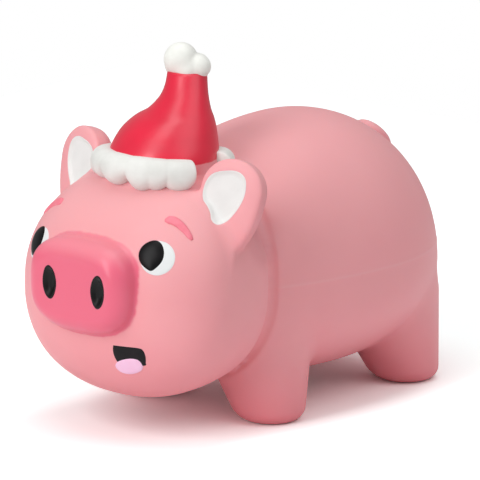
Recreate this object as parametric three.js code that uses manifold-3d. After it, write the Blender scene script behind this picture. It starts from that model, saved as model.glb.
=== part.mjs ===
// A natural latex pig squeaky toy in a moulded party hat: one hollow cast skin, its painted details and
// the squeaker plugged into the belly. Millimetres, +Z up, the snout faces -Y and the pig's left is +X.
// The origin is on the floor, under the middle of the length and width.
import * as THREE from 'three';
import { mergeVertices } from 'three/addons/utils/BufferGeometryUtils.js';
import Module from 'manifold-3d';

// Whole toy
const headSpacing = 75.4; // torso's middle to head's middle
const skinWall = 2.6; // thickness of the cast latex
const seamGap = 0.3; // left between neighbouring regions and pieces
const paintDepth = 0.6; // build-up of a painted patch
const cutMargin = 1; // how far a cutter runs past what it cuts

// Torso
const torsoSide = 44.8;
const torsoOverlap = 6.2; // torso's front runs on this far past the head's middle, inside the head
const torsoRear = 55.8;
const torsoUp = 53;
const torsoDown = 32.7;
const bellyClearance = 7.7; // belly above the floor

// Head
const headSide = 41.3;
const headFront = 27.6;
const headRear = 48;
const headUp = 38;
const headDown = 37;
const headPower = 2.25; // 2 is a plain ellipsoid, more is squarer
const headLean = 0.22; // how far the crown leans back
const chinClearance = 12;

// Snout
const snoutSide = 21;
const snoutHalfHeight = 15.6;
const snoutPower = 2.7; // 2 is an ellipse seen from the front, more is squarer
const snoutDepth = 20; // most of it inside the head
const snoutRound = 6; // rounding of the front rim
const snoutProud = 6.3; // in front of the head
const snoutRise = 4.2; // snout centre above the head centre
const nostrilSpread = 10.4; // from the middle
const nostrilRise = 0.7; // above the snout's centre
const nostrilWidth = 6.8;
const nostrilHeight = 11;
const nostrilDepth = 2.2;
const nostrilTaperShare = 0.32; // share of the width lost towards the point

// Legs
const soleRadius = 10.7;
const soleRound = 2.6; // rounding of the sole's edge
const legFlare = 8; // gained on the inner side up the leg
const frontLegInShare = 0.9; // share of the flare that moves the axis inward
const rearLegInShare = 0.85;
const rearLegForwardShare = 0.55; // and forward
const legBore = 8; // radius of the hollow, in a leg cast thick enough to stand on
const legDome = 16; // rounded top of the leg, sunk in the torso
const soleInset = 18.6; // sole centre inside the flank
const frontLegSetback = 35.4; // front sole centre behind the head's middle
const rearLegInset = 25.4; // rear sole centre in front of the rump

// Eyes, brows, mouth and tongue, each placed from the head's centre
const eyeSpread = 25.2;
const eyeRise = 14.9;
const eyeAskew = 1.1; // the left eye sits this much above, the right eye below
const eyeWidth = 11.8;
const eyeHeight = 11.8;
const pupilWidth = 8;
const pupilHeight = 10.4;
const pupilShift = 1.7; // both pupils look to the pig's right
const pupilDome = 1.1;
const pupilLift = 0.4; // above the white's centre
const patchReach = 9; // how far a patch's outline is carried in and out of the face
const browSpread = 22; // inner end
const browRise = 25.8; // inner end
const browAskew = 0.6;
const browSpan = 9.8;
const browDrop = 5; // outer end below the inner end
const browRadius = 1.2;
const browProudShare = 0.3; // share of its radius by which a brow's middle stands out
const mouthShift = 16; // the mouth sits to the pig's left of the snout
const mouthDrop = 16.6;
const mouthWidth = 11.9;
const mouthHeight = 6.8;
const tongueWidth = 9.6;
const tongueHeight = 5.4;
const tongueDrop = 4.7; // tongue centre below the mouth centre

// Ears
const earSpread = 32.8;
const earSetback = 8.6; // ear's widest section behind the head centre
const earRise = 35; // ear's widest section above the head centre
const earHalfWidth = 10.9;
const earTop = 10.4; // above the widest section
const earRoot = 22; // below the widest section
const earPower = 3.4; // 2 gives a thin rim, more a blunter one
const earFrontThickness = 2.3;
const earBackThickness = 7.7;
const earTilt = THREE.MathUtils.degToRad(13.5); // backward
const earRoll = THREE.MathUtils.degToRad(6); // outward
const earTurn = THREE.MathUtils.degToRad(15.5); // face turned outward
const earRim = 3.3;
const earCupDepth = 1.8;
const earCupShift = 2; // cup nearer the hat
const earCupDrop = 1; // cup's widest section below the ear's
const earCupRoot = 11; // cup's point below its widest section

// Hat, its trim and its pompom
const hatHeight = 28.7; // from the crown of the head to the hat's tip
const hatBaseRadius = 18.6;
const hatTipRadius = 6.5;
const hatSkirt = 6; // hidden under the trim, down to the head
const hatRearSetback = 31.2; // the hat's upright rear line behind the head centre
const trimStandOff = 0.2; // roll's middle outside the hat's base
const trimRoll = 4.9;
const trimRise = -0.6; // roll's middle above the crown
const trimScallops = 13;
const trimScallopDepth = 0.9;
const trimScallopPhase = THREE.MathUtils.degToRad(86); // sets a scallop's middle over the left eye
const trimTilt = THREE.MathUtils.degToRad(-5); // lower at the back
const pompomReach = 7.6; // from its middle to its widest side
const pompomBulk = 5.6; // radius of the biggest lump
const pompomLump = 3.9; // radius of the three smaller lumps
const pompomRise = 3.7; // biggest lump's middle above the hat's tip
const pompomDroop = 1.6; // smaller lumps' middles below the biggest lump's
const pompomTurn = THREE.MathUtils.degToRad(-139); // where the biggest lump sits, from the pig's left
const crownOpening = 8; // radius of the passage between the head and the hat

// Tail, a small curl lying on the rump
const tailRadius = 2.5;
const tailCurlRadius = 4.9; // radius of the curl's first turn
const tailTurns = 0.72;
const tailInset = 13; // curl's centre in front of the rump
const tailStartAngle = -0.6 * Math.PI;
const tailShrinkShare = 0.35; // share of the radius lost along the curl
const tailProudShare = 0.85; // share of its radius by which the tail's middle stands out

// Squeaker plugged into the belly
const squeakerInset = 60; // squeaker's axis in front of the rump
const holeRadius = 7;
const collarRadius = 11.5;
const collarThickness = 3.6; // latex round the hole
const flangeRadius = 9;
const flangeThickness = 1;
const sleeveWall = 1.2;
const sleeveHeight = 13;
const lipReach = 1.3; // of the inner retaining lip
const lipThickness = 1.2;
const airHoleRadius = 1.7;
const floorThickness = 1;
const lidThickness = 1;
const lidHoleRadius = 0.7;
const lidHoles = 6;
const lidHoleCircle = 3;
const lidPlugHeight = 1.2;
const lidPlugWall = 0.9;
const seatHeight = 9;
const seatWidth = 5;
const seatDepth = 3.2;
const seatBase = 1.4;
const seatChannel = 2.4; // width of the air channel under the reed
const reedThickness = 0.4;
const reedWidth = 3.6;
const reedGap = 0.35; // between the reed and the channel's face
const reedShortfall = 0.6; // reed's tip below the seat's top
const clampThickness = 1.2;

// Worked out from the sizes above
const overallLength = snoutProud + headFront + headSpacing + torsoRear; // snout tip to rump
const rumpY = overallLength / 2;
const legSpread = torsoSide - soleInset; // sole centre from the middle
const snoutFrontY = -overallLength / 2;

const torso = {
  centre: new THREE.Vector3(0, rumpY - torsoRear, bellyClearance + torsoDown),
  side: torsoSide,
  front: headSpacing + torsoOverlap,
  rear: torsoRear,
  up: torsoUp,
  down: torsoDown,
  power: 2,
  lean: 0,
};
const head = {
  centre: new THREE.Vector3(0, snoutFrontY + snoutProud + headFront, chinClearance + headDown),
  side: headSide,
  front: headFront,
  rear: headRear,
  up: headUp,
  down: headDown,
  power: headPower,
  lean: headLean,
};
const snoutZ = head.centre.z + snoutRise;
const crownZ = head.centre.z + headUp;
const hatRearY = head.centre.y + hatRearSetback;
const hatCentreY = hatRearY - hatBaseRadius;
const hatTipZ = crownZ + hatHeight;
const trimRadius = hatBaseRadius + trimStandOff;

// The hat's radius against its height, as shares: a low slump, a hollow flank and a narrow neck
const hatShares = [
  [-0.1, 1],
  [0.12, 0.978],
  [0.35, 0.86],
  [0.495, 0.71],
  [0.59, 0.55],
  [0.725, 0.43],
  [0.85, 0.375],
];

const kernel = await Module();
kernel.setup();

// Turns a closed geometry into a solid that can be cut and joined.
function solid(geometry) {
  const plain = geometry.clone();
  plain.deleteAttribute('normal');
  plain.deleteAttribute('uv');
  const merged = mergeVertices(plain, 1e-4);
  const position = merged.attributes.position;
  const corners = [0, 1, 2].map(() => new THREE.Vector3());
  const triangles = [];
  let volume = 0;
  for (let i = 0; i < merged.index.count; i += 3) {
    const [a, b, c] = [0, 1, 2].map((k) => merged.index.getX(i + k));
    if (a === b || b === c || c === a) continue;
    [a, b, c].forEach((index, k) => corners[k].fromBufferAttribute(position, index));
    volume += corners[0].dot(corners[1].clone().cross(corners[2]));
    triangles.push([a, b, c]);
  }
  const faces = volume < 0 ? triangles.map(([a, b, c]) => [a, c, b]) : triangles;
  const mesh = new kernel.Mesh({
    numProp: 3,
    vertProperties: Float32Array.from(position.array),
    triVerts: Uint32Array.from(faces.flat()),
  });
  return new kernel.Manifold(mesh);
}

// A piece of the toy: a named mesh made from a solid, with its finish. Crumbs that a cut leaves are dropped.
function piece(name, body, finish) {
  const [whole] = body.decompose().sort((a, b) => b.volume() - a.volume());
  const mesh = whole.getMesh();
  const geometry = new THREE.BufferGeometry();
  geometry.setAttribute('position', new THREE.BufferAttribute(Float32Array.from(mesh.vertProperties), 3));
  geometry.setIndex(Array.from(mesh.triVerts));
  geometry.computeVertexNormals();
  const result = new THREE.Mesh(geometry, new THREE.MeshStandardMaterial(finish));
  result.name = name;
  return result;
}

// Moves every vertex of a geometry by a rule.
function reshape(geometry, rule) {
  const position = geometry.attributes.position;
  const point = new THREE.Vector3();
  for (let i = 0; i < position.count; i++) {
    point.fromBufferAttribute(position, i);
    rule(point);
    position.setXYZ(i, point.x, point.y, point.z);
  }
  return geometry;
}

// An egg with its own reach to each side, poles along Y, grown or shrunk by an offset.
function eggGeometry(egg, offset = 0, around = 32, along = 18) {
  return reshape(new THREE.SphereGeometry(1, around, along), (p) => {
    const sum = Math.abs(p.x) ** egg.power + Math.abs(p.y) ** egg.power + Math.abs(p.z) ** egg.power;
    p.multiplyScalar(sum ** (-1 / egg.power));
    p.x *= egg.side + offset;
    p.y *= (p.y < 0 ? egg.front : egg.rear) + offset;
    p.z *= (p.z < 0 ? egg.down : egg.up) + offset;
    p.y += (egg.lean * Math.max(0, p.z) ** 2) / egg.up;
    p.add(egg.centre);
  });
}

function eggSolid(egg, offset = 0, around = 32, along = 18) {
  return solid(eggGeometry(egg, offset, around, along));
}

// How far outside the egg's surface a point lies, as a share of the egg's reach.
function outsideEgg(egg, point) {
  const z = point.z - egg.centre.z;
  const y = point.y - egg.centre.y - (egg.lean * Math.max(0, z) ** 2) / egg.up;
  const x = point.x - egg.centre.x;
  const terms = [x / egg.side, y / (y < 0 ? egg.front : egg.rear), z / (z < 0 ? egg.down : egg.up)];
  return terms.reduce((sum, t) => sum + Math.abs(t) ** egg.power, 0) ** (1 / egg.power) - 1;
}

// The point where a line from inside the egg leaves it, and the surface's normal there.
function surfaceFrom(egg, start, direction) {
  let near = 0;
  let far = overallLength;
  for (let i = 0; i < 40; i++) {
    const middle = (near + far) / 2;
    const inside = outsideEgg(egg, start.clone().addScaledVector(direction, middle)) < 0;
    if (inside) near = middle;
    else far = middle;
  }
  const point = start.clone().addScaledVector(direction, near);
  const step = 0.05;
  const slope = (axis) => {
    const shift = new THREE.Vector3().setComponent(axis, step);
    return outsideEgg(egg, point.clone().add(shift)) - outsideEgg(egg, point.clone().sub(shift));
  };
  const normal = new THREE.Vector3(slope(0), slope(1), slope(2)).normalize();
  return { point, normal };
}

// A place on the face, given across and up from the head's centre.
function onFace(across, up) {
  const start = new THREE.Vector3(across, head.centre.y, head.centre.z + up);
  start.y += (headLean * Math.max(0, up) ** 2) / headUp;
  return surfaceFrom(head, start, new THREE.Vector3(0, -1, 0));
}

// Sets a geometry drawn in XY, with +Z outward, on a surface place.
function setOn(geometry, place) {
  const outward = place.normal;
  const level = new THREE.Vector3(0, 0, 1).cross(outward).normalize();
  const upright = outward.clone().cross(level);
  const basis = new THREE.Matrix4().makeBasis(level, upright, outward).setPosition(place.point);
  return geometry.applyMatrix4(basis);
}

// A closed outline from a rule that gives a point for each angle.
function outline(rule, steps) {
  const points = [];
  for (let i = 0; i < steps; i++) {
    points.push(rule((2 * Math.PI * i) / steps));
  }
  return new THREE.Shape(points);
}

function ovalOutline(width, height, power = 2, steps = 20) {
  return outline((angle) => {
    const c = Math.cos(angle);
    const s = Math.sin(angle);
    const round = (Math.abs(c) ** power + Math.abs(s) ** power) ** (-1 / power);
    return new THREE.Vector2((c * round * width) / 2, (s * round * height) / 2);
  }, steps);
}

// A straight prism through a surface, reaching the same way in and out.
function prism(shape, reach) {
  const geometry = new THREE.ExtrudeGeometry(shape, { depth: 2 * reach, bevelEnabled: false });
  return geometry.translate(0, 0, -reach);
}

// A tube of round section along points, with flat ends.
function tube(points, radius, steps) {
  const round = ovalOutline(2 * radius, 2 * radius, 2, 8);
  const path = new THREE.CatmullRomCurve3(points);
  return new THREE.ExtrudeGeometry(round, { steps, bevelEnabled: false, extrudePath: path });
}

// A solid turned about an upright axis from a profile of radius and height.
function turned(profile, x, y, segments = 24) {
  const points = profile.map(([radius, height]) => new THREE.Vector2(radius, height));
  const geometry = new THREE.LatheGeometry(points, segments).rotateX(Math.PI / 2);
  return solid(geometry.translate(x, y, 0));
}

function cylinder(radius, bottom, top, x, y, segments = 24) {
  return turned([[0, bottom], [radius, bottom], [radius, top], [0, top]], x, y, segments);
}

function block(width, depth, height, x, y, z) {
  return solid(new THREE.BoxGeometry(width, depth, height).translate(x, y, z));
}

const pink = { color: 0xe59ea1, roughness: 0.62, metalness: 0 };
const hotPink = { color: 0xfb8198, roughness: 0.5, metalness: 0 };
const browPink = { color: 0xf0808c, roughness: 0.6, metalness: 0 };
const hatRed = { color: 0xea4157, roughness: 0.45, metalness: 0 };
const warmWhite = { color: 0xf0eeeb, roughness: 0.6, metalness: 0 };
const glossBlack = { color: 0x1c1a1b, roughness: 0.25, metalness: 0 };
const tonguePink = { color: 0xfbc8e5, roughness: 0.5, metalness: 0 };
const plasticWhite = { color: 0xe9e9e4, roughness: 0.4, metalness: 0 };

const torsoSkin = eggSolid(torso);
const torsoClear = eggSolid(torso, seamGap);
const torsoInside = eggSolid(torso, -skinWall, 20, 12);
const headSkin = eggSolid(head);
const headClear = eggSolid(head, seamGap);
const headInside = eggSolid(head, -skinWall, 20, 12);

// Squeaker sizes in height, from the belly up
const squeakerY = rumpY - squeakerInset;
const aboveSqueaker = new THREE.Vector3(0, squeakerY, torso.centre.z);
const bellyZ = surfaceFrom(torso, aboveSqueaker, new THREE.Vector3(0, 0, -1)).point.z;
const flangeSeatZ = bellyZ + flangeThickness + seamGap;
const collarTopZ = flangeSeatZ + collarThickness;
const sleeveRadius = holeRadius - seamGap;
const boreRadius = sleeveRadius - sleeveWall;
const sleeveTopZ = flangeSeatZ - seamGap + sleeveHeight;
const floorTopZ = flangeSeatZ - seamGap - flangeThickness + floorThickness;

// A leg and its hollow: a column that widens upwards and leans inward, with a rounded sole and top.
function leg(side, y, inShare, forwardShare) {
  const top = torso.centre.z;
  const widening = (z) => legFlare * Math.sin((Math.PI / 2) * Math.min(1, z / top));
  const column = (radius, bottom, flare, segments) => {
    const profile = [[0, bottom]];
    for (let i = 0; i <= 3; i++) {
      const angle = (Math.PI / 2) * (i / 3);
      profile.push([radius - soleRound * (1 - Math.sin(angle)), bottom + soleRound * (1 - Math.cos(angle))]);
    }
    const steps = 4;
    for (let i = 1; i <= steps; i++) {
      const z = THREE.MathUtils.lerp(bottom + soleRound, top, i / steps);
      profile.push([radius + flare * widening(z), z]);
    }
    for (let i = 1; i <= 3; i++) {
      const angle = (Math.PI / 2) * (i / 3);
      profile.push([(radius + flare * legFlare) * Math.cos(angle), top + legDome * Math.sin(angle)]);
    }
    const points = profile.map(([r, z]) => new THREE.Vector2(r, z));
    const geometry = new THREE.LatheGeometry(points, segments).rotateX(Math.PI / 2);
    return solid(reshape(geometry, (p) => {
      p.x += side * (legSpread - widening(p.z) * inShare);
      p.y += y - widening(p.z) * forwardShare;
    }));
  };
  return {
    whole: column(soleRadius, 0, 1, 24),
    inside: column(legBore, skinWall, 0, 12),
  };
}

const rearLegY = rumpY - rearLegInset;
const frontLegY = head.centre.y + frontLegSetback;
const legs = [
  { name: 'leg_front_left', ...leg(1, frontLegY, frontLegInShare, 0) },
  { name: 'leg_front_right', ...leg(-1, frontLegY, frontLegInShare, 0) },
  { name: 'leg_rear_left', ...leg(1, rearLegY, rearLegInShare, rearLegForwardShare) },
  { name: 'leg_rear_right', ...leg(-1, rearLegY, rearLegInShare, rearLegForwardShare) },
];

// A squat drum, squarish from the front, with a flat face and a rounded rim.
function snoutSolid() {
  const steps = 5;
  const profile = [[0, 0]];
  for (let i = 0; i <= steps; i++) {
    const angle = (Math.PI / 2) * (i / steps);
    profile.push([snoutSide - snoutRound * (1 - Math.sin(angle)), snoutRound * (1 - Math.cos(angle))]);
  }
  profile.push([snoutSide, snoutDepth], [0, snoutDepth]);
  const points = profile.map(([radius, depth]) => new THREE.Vector2(radius, depth));
  const flatHeight = snoutHalfHeight - snoutRound;
  const flatSide = snoutSide - snoutRound;
  return solid(reshape(new THREE.LatheGeometry(points, 36), (p) => {
    const radius = Math.hypot(p.x, p.z);
    const angle = Math.atan2(p.z, p.x);
    const c = Math.cos(angle);
    const s = Math.sin(angle);
    const square = (Math.abs(c) ** snoutPower + Math.abs(s) ** snoutPower) ** (-1 / snoutPower);
    const onRim = radius > flatSide;
    const height = onRim ? radius - flatSide + flatHeight : (radius * flatHeight) / flatSide;
    p.set(c * square * radius, snoutFrontY + p.y, snoutZ + s * square * height);
  }));
}

const crownPassage = cylinder(crownOpening, head.centre.z, hatTipZ, 0, hatCentreY);

function hatProfile(offset, steps) {
  const curve = new THREE.SplineCurve([
    ...hatShares.map(([rise, share]) => new THREE.Vector2(hatBaseRadius * share, crownZ + rise * hatHeight)),
    new THREE.Vector2(hatTipRadius, hatTipZ),
  ]);
  const top = hatTipZ + offset;
  const profile = curve.getPoints(steps).map((p) => [p.x + offset, Math.min(p.y, top)]);
  const [[widest, bottom]] = profile;
  return [[0, bottom - hatSkirt], [widest, bottom - hatSkirt], ...profile, [0, top]];
}

// The hat's rings all touch one upright line at the back, so the hat leans back as it narrows.
function hatSolid(offset, steps, segments) {
  const profile = hatProfile(offset, steps);
  const radiusAt = (z) => {
    for (let i = 2; i < profile.length - 1; i++) {
      const [r0, z0] = profile[i - 1];
      const [r1, z1] = profile[i];
      if (z <= z1) return THREE.MathUtils.mapLinear(Math.max(z, z0), z0, z1, r0, r1);
    }
    return profile[profile.length - 2][0];
  };
  const points = profile.map(([r, z]) => new THREE.Vector2(r, z));
  const geometry = new THREE.LatheGeometry(points, segments).rotateX(Math.PI / 2);
  return solid(reshape(geometry, (p) => {
    p.y += hatRearY - (radiusAt(p.z) - offset);
  }));
}

const hatSkin = hatSolid(0, 11, 26);
const hatClear = hatSolid(seamGap, 11, 26);
const hatInside = hatSolid(-skinWall, 6, 14);

// An egg with a blunt edge: oval from the front and full in depth right out to its rim.
function petalGeometry(petal, offset) {
  return reshape(new THREE.SphereGeometry(1, 20, 12), (p) => {
    const spread = Math.hypot(p.x, p.z);
    p.multiplyScalar((spread ** petal.power + Math.abs(p.y) ** petal.power) ** (-1 / petal.power));
    p.x *= petal.side + offset;
    p.y *= (p.y < 0 ? petal.front : petal.rear) + offset;
    p.z *= (p.z < 0 ? petal.down : petal.up) + offset;
  });
}

function ear(side) {
  const place = (geometry) => {
    geometry.rotateX(-earTilt).rotateY(side * earRoll).rotateZ(side * earTurn);
    const back = head.centre.y + earSetback;
    return solid(geometry.translate(side * earSpread, back, head.centre.z + earRise));
  };
  const petal = {
    centre: new THREE.Vector3(),
    side: earHalfWidth,
    front: earFrontThickness,
    rear: earBackThickness,
    up: earTop,
    down: earRoot,
    power: earPower,
  };
  const cup = {
    centre: new THREE.Vector3(-side * earCupShift, -earFrontThickness, -earCupDrop),
    side: earHalfWidth - earRim,
    front: earCupDepth + earFrontThickness,
    rear: earCupDepth,
    up: earTop + earCupDrop - earRim,
    down: earCupRoot,
    power: 2,
    lean: 0,
  };
  const whole = place(petalGeometry(petal, 0));
  const hollow = place(eggGeometry(cup, 0, 18, 10));
  const outer = place(petalGeometry(petal, seamGap));
  const floor = place(eggGeometry(cup, -seamGap, 18, 10));
  const above = place(eggGeometry(cup, -seamGap - paintDepth, 18, 10));
  const lining = floor.subtract(above).intersect(whole);
  return { whole: whole.subtract(hollow), outer, lining };
}

const ears = { left: ear(1), right: ear(-1) };
const earsOuter = ears.left.outer.add(ears.right.outer);

function trimSolid() {
  const geometry = new THREE.TorusGeometry(trimRadius, trimRoll, 7, 5 * trimScallops);
  return solid(reshape(geometry, (p) => {
    const angle = Math.atan2(p.y, p.x);
    const swell = 1 + (trimScallopDepth / trimRoll) * Math.cos(trimScallops * angle + trimScallopPhase);
    const middle = new THREE.Vector3(Math.cos(angle), Math.sin(angle), 0).multiplyScalar(trimRadius);
    p.sub(middle).multiplyScalar(swell).add(middle);
    p.applyAxisAngle(new THREE.Vector3(1, 0, 0), trimTilt);
    p.y += hatCentreY;
    p.z += crownZ + trimRise;
  }));
}

// One big lump with three smaller ones round it.
function pompomSolid() {
  const middle = new THREE.Vector3(0, hatRearY - hatTipRadius, hatTipZ + pompomRise);
  const lump = (radius, angle, reach, drop) => {
    const away = new THREE.Vector3(Math.cos(angle), Math.sin(angle), 0).multiplyScalar(reach);
    const centre = away.add(middle).setZ(middle.z - drop);
    return solid(new THREE.IcosahedronGeometry(radius, 3).translate(centre.x, centre.y, centre.z));
  };
  const lumps = [lump(pompomBulk, pompomTurn, pompomReach - pompomBulk, 0)];
  for (const turn of [Math.PI / 2, Math.PI, (3 * Math.PI) / 2]) {
    lumps.push(lump(pompomLump, pompomTurn + turn, pompomReach - pompomLump, pompomDroop));
  }
  return kernel.Manifold.union(lumps);
}

// A painted patch: the part of a prism that lies in a thin layer over the head.
function facePatch(shape, place, depth) {
  const layer = eggSolid(head, seamGap + depth).subtract(headClear);
  return layer.intersect(solid(setOn(prism(shape, patchReach), place)));
}

function eye(side) {
  const rise = eyeRise + side * eyeAskew;
  const place = onFace(side * eyeSpread, rise);
  const look = onFace(side * eyeSpread - pupilShift, rise + pupilLift);
  const pupil = facePatch(ovalOutline(pupilWidth, pupilHeight), look, pupilDome);
  const hole = ovalOutline(pupilWidth + 2 * seamGap, pupilHeight + 2 * seamGap);
  const cut = solid(setOn(prism(hole, patchReach), look));
  const white = facePatch(ovalOutline(eyeWidth, eyeHeight), place, paintDepth).subtract(cut);
  return { pupil, white };
}

function brow(side) {
  const points = [];
  const steps = 6;
  for (let i = 0; i <= steps; i++) {
    const along = i / steps;
    const rise = browRise + side * browAskew - browDrop * along ** 2;
    const { point, normal } = onFace(side * (browSpread + along * browSpan), rise);
    points.push(point.addScaledVector(normal, browRadius * browProudShare));
  }
  return solid(tube(points, browRadius, 9)).subtract(headClear);
}

// A teardrop, round above and pointed below.
function nostrilOutline(grow) {
  return outline((angle) => {
    const taper = 1 - nostrilTaperShare * Math.max(0, -Math.sin(angle)) ** 1.5;
    const across = Math.cos(angle) * (nostrilWidth / 2 + grow) * taper;
    return new THREE.Vector2(across, Math.sin(angle) * (nostrilHeight / 2 + grow));
  }, 20);
}

function nostril(side) {
  const point = new THREE.Vector3(side * nostrilSpread, snoutFrontY, snoutZ + nostrilRise);
  const place = { point, normal: new THREE.Vector3(0, -1, 0) };
  const pit = solid(setOn(prism(nostrilOutline(0), nostrilDepth), place));
  const backing = place.point.clone().addScaledVector(place.normal, -nostrilDepth + seamGap + paintDepth / 2);
  const paint = prism(nostrilOutline(-seamGap), paintDepth / 2);
  return { pit, paint: solid(setOn(paint, { point: backing, normal: place.normal })) };
}

const nostrils = { left: nostril(1), right: nostril(-1) };

const mouthPlace = onFace(mouthShift, -mouthDrop);
const tonguePlace = onFace(mouthShift, -mouthDrop - tongueDrop);
const mouthShape = ovalOutline(mouthWidth, mouthHeight, 3);
const tongueShape = ovalOutline(tongueWidth, tongueHeight);
const tongueHole = ovalOutline(tongueWidth + 2 * seamGap, tongueHeight + 2 * seamGap);
const tongueCut = solid(setOn(prism(tongueHole, patchReach), tonguePlace));
const mouth = facePatch(mouthShape, mouthPlace, paintDepth).subtract(tongueCut);
const tongue = facePatch(tongueShape, tonguePlace, paintDepth);

function tailSolid() {
  const points = [];
  const steps = 9;
  for (let i = 0; i <= steps; i++) {
    const share = i / steps;
    const angle = tailStartAngle + share * tailTurns * 2 * Math.PI;
    const radius = tailCurlRadius * (1 - tailShrinkShare * share);
    const y = rumpY - tailInset - radius * Math.cos(angle);
    const start = new THREE.Vector3(radius * Math.sin(angle), y, torso.centre.z);
    const { point, normal } = surfaceFrom(torso, start, new THREE.Vector3(0, 0, 1));
    points.push(point.addScaledVector(normal, tailRadius * tailProudShare));
  }
  return solid(tube(points, tailRadius, 18)).subtract(torsoClear);
}

// Squeaker: a flanged sleeve with a floor, a reed over an air channel, and a perforated lid
const airHole = cylinder(airHoleRadius, bellyZ - cutMargin, floorTopZ + cutMargin, 0, squeakerY, 16);
const lipBottomZ = collarTopZ + seamGap;
const housing = turned([
  [0, bellyZ],
  [flangeRadius, bellyZ],
  [flangeRadius, bellyZ + flangeThickness],
  [sleeveRadius, bellyZ + flangeThickness],
  [sleeveRadius, lipBottomZ],
  [sleeveRadius + lipReach, lipBottomZ],
  [sleeveRadius, lipBottomZ + lipThickness],
  [sleeveRadius, sleeveTopZ],
  [boreRadius, sleeveTopZ],
  [boreRadius, floorTopZ],
  [0, floorTopZ],
], 0, squeakerY).subtract(airHole);

const seatBottomZ = floorTopZ + seamGap;
const seatFaceY = squeakerY - seamGap;
const seatDisc = cylinder(boreRadius - seamGap, seatBottomZ, seatBottomZ + seatBase, 0, squeakerY, 24);
const seatMiddleY = seatFaceY + seatDepth / 2;
const seatTower = block(seatWidth, seatDepth, seatHeight, 0, seatMiddleY, seatBottomZ + seatHeight / 2);
const channelHeight = seatHeight - 2 * seatBase;
const channelBottomZ = seatBottomZ - cutMargin;
const channelTopZ = seatBottomZ + seatBase + channelHeight;
const channel = block(
  seatChannel,
  seatDepth,
  channelTopZ - channelBottomZ,
  0,
  seatMiddleY - seatBase / 2,
  (channelBottomZ + channelTopZ) / 2,
);
const reedSlotBottomZ = seatBottomZ + seatBase;
const reedY = seatFaceY - reedGap - reedThickness / 2;
const clampY = reedY - reedThickness / 2 - seamGap - clampThickness / 2;
const clamp = block(seatWidth, clampThickness, 2 * seatBase, 0, clampY, seatBottomZ + seatBase);
const seatAir = cylinder(airHoleRadius, bellyZ, seatBottomZ + seatBase / 2, 0, squeakerY, 16);
const reedSeat = seatDisc.add(seatTower).add(clamp).subtract(channel).subtract(seatAir);

const reedHeight = seatHeight - seatBase - reedShortfall;
const reedMiddleZ = reedSlotBottomZ + seamGap + reedHeight / 2;
const reed = block(reedWidth, reedThickness, reedHeight, 0, reedY, reedMiddleZ);

function lidSolid() {
  const bottom = sleeveTopZ + seamGap;
  const plugRadius = boreRadius - seamGap;
  const plug = cylinder(plugRadius, bottom - lidPlugHeight, bottom + lidThickness / 2, 0, squeakerY);
  const recess = cylinder(plugRadius - lidPlugWall, bottom - lidPlugHeight - cutMargin, bottom, 0, squeakerY);
  let lid = cylinder(sleeveRadius, bottom, bottom + lidThickness, 0, squeakerY).add(plug.subtract(recess));
  for (let i = 0; i < lidHoles; i++) {
    const angle = (2 * Math.PI * i) / lidHoles;
    const x = lidHoleCircle * Math.cos(angle);
    const y = squeakerY + lidHoleCircle * Math.sin(angle);
    const hole = cylinder(lidHoleRadius, bottom - cutMargin, bottom + lidThickness + cutMargin, x, y, 8);
    lid = lid.subtract(hole);
  }
  return lid;
}

const legInsides = kernel.Manifold.union(legs.map(({ inside }) => inside));
const belly = {
  collar: cylinder(collarRadius, 0, collarTopZ, 0, squeakerY),
  hole: cylinder(holeRadius, 0, collarTopZ + cutMargin, 0, squeakerY),
  recess: cylinder(flangeRadius + seamGap, 0, flangeSeatZ, 0, squeakerY),
};

const torsoBody = torsoSkin
  .subtract(torsoInside.subtract(belly.collar))
  .subtract(headClear)
  .subtract(legInsides)
  .subtract(crownPassage)
  .subtract(belly.hole)
  .subtract(belly.recess);
const headBody = headSkin
  .subtract(headInside)
  .subtract(torsoInside)
  .subtract(crownPassage);
const snoutBody = snoutSolid()
  .subtract(headClear)
  .subtract(nostrils.left.pit)
  .subtract(nostrils.right.pit);
const hatBody = hatSkin.subtract(hatInside).subtract(headClear).subtract(torsoClear);
const trimBody = trimSolid().subtract(hatClear).subtract(headClear).subtract(torsoClear).subtract(earsOuter);

const pig = new THREE.Group();
pig.add(piece('torso', torsoBody, pink));
pig.add(piece('head', headBody, pink));
pig.add(piece('snout', snoutBody, hotPink));
for (const { name, whole, inside } of legs) {
  pig.add(piece(name, whole.subtract(inside).subtract(torsoClear).subtract(headClear), pink));
}
pig.add(piece('tail', tailSolid(), pink));
pig.add(piece('hat', hatBody, hatRed));
pig.add(piece('hat_trim', trimBody, warmWhite));
pig.add(piece('hat_pompom', pompomSolid().subtract(hatClear), warmWhite));
for (const [name, side] of [['left', 1], ['right', -1]]) {
  const { whole, lining } = ears[name];
  pig.add(piece(`ear_${name}`, whole.subtract(headClear).subtract(torsoClear), pink));
  pig.add(piece(`ear_lining_${name}`, lining.subtract(headClear), warmWhite));
  const { pupil, white } = eye(side);
  pig.add(piece(`eye_white_${name}`, white, warmWhite));
  pig.add(piece(`pupil_${name}`, pupil, glossBlack));
  pig.add(piece(`brow_${name}`, brow(side), browPink));
  pig.add(piece(`nostril_${name}`, nostrils[name].paint, glossBlack));
}
pig.add(piece('mouth', mouth, glossBlack));
pig.add(piece('tongue', tongue, tonguePink));
pig.add(piece('squeaker_housing', housing, plasticWhite));
pig.add(piece('squeaker_reed_seat', reedSeat, plasticWhite));
pig.add(piece('squeaker_reed', reed, plasticWhite));
pig.add(piece('squeaker_lid', lidSolid(), plasticWhite));

export default pig;
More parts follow.
